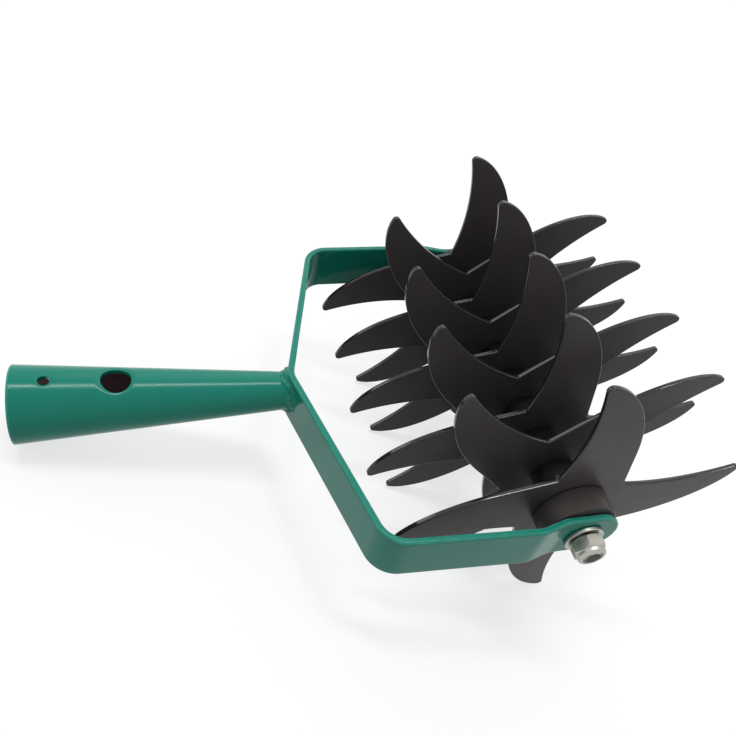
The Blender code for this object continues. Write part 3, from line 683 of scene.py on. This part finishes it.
# %% Thread, shank and head
THREAD_PITCH, THREAD_DEPTH, THREAD_LENGTH, HEAD_HEIGHT = 1.25, 0.68, 22.0, 5.3
BOLT_TAIL, BOLT_CHAMFER, END_FLAT, THREAD_FADE = 0.2, 0.8, 3.0, 2
end, head_top = SEAT_Y + NUT_HEIGHT + BOLT_TAIL, SEAT_Y + HEAD_HEIGHT
along = np.arange(0, THREAD_LENGTH, THREAD_PITCH / 10)[None, :]
turns = 2 * math.pi * np.arange(SIDES)[:, None] / SIDES
ridge = (along / THREAD_PITCH - turns / (2 * math.pi)) % 1.0
cut_in = THREAD_DEPTH * np.clip(1.15 * np.abs(2 * ridge - 1) - 0.08, 0, 1)
fade = np.clip((THREAD_LENGTH - THREAD_FADE - along) / THREAD_FADE, 0, 1)
radius = np.minimum(BOLT_RADIUS - cut_in * fade, BOLT_RADIUS - BOLT_CHAMFER + along)
thread = np.stack((radius * np.cos(turns), along - end + 0 * radius, radius * np.sin(turns)),
                  axis=-1)
head = hexagon(SEAT_Y + np.array([0, 2.0, 4.3, 4.55, 4.8, 5.0, 5.15, HEAD_HEIGHT]), None, head_top)
shank = spun([(THREAD_LENGTH - end, BOLT_RADIUS), (SEAT_Y, BOLT_RADIUS)], SIDES)
end_face = spun([(-end, 0.0), (-end, END_FLAT)], SIDES)
head_middle = spun([(head_top, 0.0)], SIDES)
bolt_grid = np.concatenate((end_face, thread, shank, head, head_middle), axis=1)
dark_end_mark = np.zeros(bolt_grid.shape[:2])
dark_end_mark[:, :4] = 1
bolt_faces = grid_faces(SIDES, bolt_grid.shape[1], True, False)
bolt = mesh_of("axle_bolt_threaded", in_scene(bolt_grid), bolt_faces, {"dark_end_face": dark_end_mark})
add_piece(bolt, "frame", zinc, "axle_bolt", 28)
print("bolt", len(bolt.polygons), "faces, from", round(-end, 1), "to", round(head_top, 1), "mm")

# %% [markdown]
# ## Washers, nylon ring, spacers and bushes
# Everything else on the bolt is a ring: two punched washers, the nut's nylon ring, eight spacer
# tubes, and the two wide bushes that keep the outer discs off the arms. The solids say
# where each one lies along the bolt. Its profile is an arc at each outer corner, with a point
# beyond each end of the arcs so that the flat and the round walls shade straight. The spacers
# carry the rims' mark in full: it paints them darker, as painted shade between the discs, and glossier.

# %% Rings along the bolt
WASHER_RADIUS, NYLON_RADIUS, SPACER_RADIUS, BUSH_RADIUS, RING_SIDES = 8.6, 5.2, 10.0, 16.5, 96


def ring_piece(name, node, radius, rounding, finish, body, shade_and_gloss=0):
    """Corner arc: along = rounding * (1 - sin), radius less rounding * (1 - cos); then mirrored."""
    low_corner, high_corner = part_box(node)
    low, high = ((value - BOLT[1]) / MM for value in (low_corner.y, high_corner.y))
    arc = np.radians([90, 60, 30, 0])
    along = np.concatenate(([0, 0], rounding * (1 - np.sin(arc)), [rounding + GUARD]))
    ends = [radius - HOLE_RADIUS, rounding + GUARD]
    radii = radius - np.concatenate((ends, rounding * (1 - np.cos(arc)), [0]))
    profile = [*zip(low + along, radii), *zip((high - along)[::-1], radii[::-1])]
    marks = {"rim_shade_and_gloss": np.full((RING_SIDES, len(profile)), float(shade_and_gloss))}
    faces = grid_faces(RING_SIDES, len(profile), True, True)
    ring = mesh_of(name, in_scene(spun(profile, RING_SIDES)), faces, marks)
    return add_piece(ring, body, finish, node, 35)


for end, node in (("far", "bolt_washer"), ("near", "nut_washer")):
    ring_piece(f"washer_{end}", node, WASHER_RADIUS, 0.25, zinc, "frame")
    ring_piece(f"bush_{end}", f"end_bush_{end}", BUSH_RADIUS, 0.5, black, "rotor")
ring_piece("nylon_ring", "lock_nut_insert", NYLON_RADIUS, 0.2, nylon, "frame")
# The spacers are painted darker, as shade between the discs, and made glossier.
for number in range(1, DISCS):
    ring_piece(f"spacer_tube_{number}", f"spacer_{number}", SPACER_RADIUS, 0.5, black, "rotor",
               1)
print("rings: 2 washers, 1 of nylon, 8 spacers and 2 bushes")

# %% [markdown]
# ## White ground
# The picture has a plain white ground. The floor is a wide white plane, and the sky meets it far
# away. Rays that come straight from the camera, from a gloss or through glass see both of them as
# white, so that the metal mirrors the same white room. All other rays carry the light that falls
# on the tool. They see a greyer floor and sky, and the floor keeps the tool's soft shadow.

# %% Floor
def backdrop_rays(tree):
    """1 for rays from the camera, a gloss or through glass, and 0 for the light on the tool."""
    path = add(tree, "ShaderNodeLightPath").outputs
    direct = add(tree, "ShaderNodeMath", {0: path["Is Camera Ray"], 1: path["Is Glossy Ray"]},
                 operation="MAXIMUM")
    return add(tree, "ShaderNodeMath", {0: direct.outputs["Value"], 1: path["Is Transmission Ray"]},
               operation="MAXIMUM").outputs["Value"]


FLOOR_HALF = 30                  # metres
floor_corners = FLOOR_HALF * np.array(((-1, -1, 0), (1, -1, 0), (1, 1, 0), (-1, 1, 0)))
floor_mesh = mesh_of("floor", floor_corners, [[0, 1, 2, 3]])
floor = bpy.data.objects.new("floor", floor_mesh)
bpy.context.scene.collection.objects.link(floor)
paper, tree, shader = new_finish("white_paper_floor")
seen = backdrop_rays(tree)
tint = add(tree, "ShaderNodeMix", {"Factor": seen, "A": linear("#b8b8b8"), "B": linear("#a0a0a0")},
           data_type="RGBA")
glow = add(tree, "ShaderNodeMix", {"Factor": seen, "A": 0.0, "B": 0.7}, data_type="FLOAT")
tree.links.new(tint.outputs["Result"], shader.inputs["Base Color"])
tree.links.new(glow.outputs["Result"], shader.inputs["Emission Strength"])
shader.inputs["Emission Color"].default_value = (1, 1, 1, 1)
shader.inputs["Roughness"].default_value = 1.0
shader.inputs["Specular IOR Level"].default_value = 0.0
floor_mesh.materials.append(paper)
floor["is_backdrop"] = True
print("floor of", round(floor.dimensions.x), "by", round(floor.dimensions.y), "m")

# %% Sky
world = bpy.data.worlds.new("pale_sky")
bpy.context.scene.world = world
world.use_nodes = True
tree = world.node_tree
sky = tree.nodes["Background"]
seen = backdrop_rays(tree)
hue = add(tree, "ShaderNodeMix", {"Factor": seen, "A": (0.96, 0.98, 1.0, 1), "B": (1, 1, 1, 1)},
          data_type="RGBA")
power = add(tree, "ShaderNodeMix", {"Factor": seen, "A": 0.42, "B": 1.0}, data_type="FLOAT")
tree.links.new(hue.outputs["Result"], sky.inputs["Color"])
tree.links.new(power.outputs["Result"], sky.inputs["Strength"])
print("sky has", len(tree.nodes), "nodes")

# %% [markdown]
# ## Lamps
# One thin bright line runs along the whole socket and turns round the holes, as a long strip lamp
# overhead would draw it. A row of five small suns stands for it: a sun is infinitely far, so each
# one needs only a direction and a width in degrees. A wide lamp behind the tool draws the pale
# line on the yoke's rims, and a low one at the back left touches the teeth.

# %% Strip lamp and two helpers
def hang_lamp(name, towards, share, degrees):
    """A far round lamp: towards points to it, share is its part of a white floor's light."""
    sun = bpy.data.lights.new(name, "SUN")
    sun.energy, sun.angle = share * math.pi, math.radians(degrees)
    lamp = bpy.data.objects.new(name, sun)
    bpy.context.scene.collection.objects.link(lamp)
    lamp.rotation_euler = Vector(towards).to_track_quat("Z", "Y").to_euler()


STRIP_LAMPS, STRIP_SHARE, STRIP_WIDTH = 5, 0.42, 8
strip_from, strip_to = Vector((-0.34, 0.25, 0.91)), Vector((0.07, 0.05, 1.0))
for number in range(STRIP_LAMPS):
    towards = strip_from.lerp(strip_to, number / (STRIP_LAMPS - 1))
    hang_lamp(f"strip_lamp_{number + 1}", towards, STRIP_SHARE / STRIP_LAMPS, STRIP_WIDTH)
hang_lamp("wide_lamp_behind", (0.2, 0.7, 0.68), 0.16, 50)
hang_lamp("low_lamp_back_left", (-0.81, 0.51, 0.29), 0.08, 22)

# %% [markdown]
# ## Camera
# The camera's place, direction and tilt were fitted beforehand to the tool's outline in the
# photograph, as its sizes were, so they fit each other better than they may fit the real tool.
# Its right, up and backward directions are the columns of its rotation. The picture is square,
# so the lens comes from the focal length in pixels over the picture's width of 736, times the
# sensor's 36 mm.

# %% Camera from three directions
FOCAL_PIXELS, PICTURE_WIDTH, SENSOR_WIDTH = 689.77, 736, 36.0
camera_place = BOLT + MM * np.array((-222.918, -200.811, 188.612))
forward = np.array((0.46177, 0.63555, -0.61875))
right = np.array((0.87755, -0.22577, 0.42301))
right = right - forward * (right @ forward) / (forward @ forward)
forward, right = forward / np.linalg.norm(forward), right / np.linalg.norm(right)
camera_data = bpy.data.cameras.new("camera")
camera = bpy.data.objects.new("camera", camera_data)
bpy.context.scene.collection.objects.link(camera)
turn = Matrix(np.column_stack((right, np.cross(right, forward), -forward)).tolist()).to_4x4()
camera.matrix_world = Matrix.Translation(camera_place.tolist()) @ turn
camera_data.sensor_width = SENSOR_WIDTH
camera_data.lens = SENSOR_WIDTH * FOCAL_PIXELS / PICTURE_WIDTH
camera_data.clip_start = 0.01
bpy.context.scene.camera = camera
bpy.context.scene.view_settings.view_transform = "Standard"
place = [round(value, 3) for value in camera.location]
print("camera", place, "lens", round(camera_data.lens, 2), "mm")

# %% [markdown]
# ## Finish
# The dressed tool should keep the size of the solids, so its box is printed like theirs.

# %% Print the dressed box and finish
low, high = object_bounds()
print("dressed box in mm", [round((b - a) / MM, 1) for a, b in zip(low, high)])
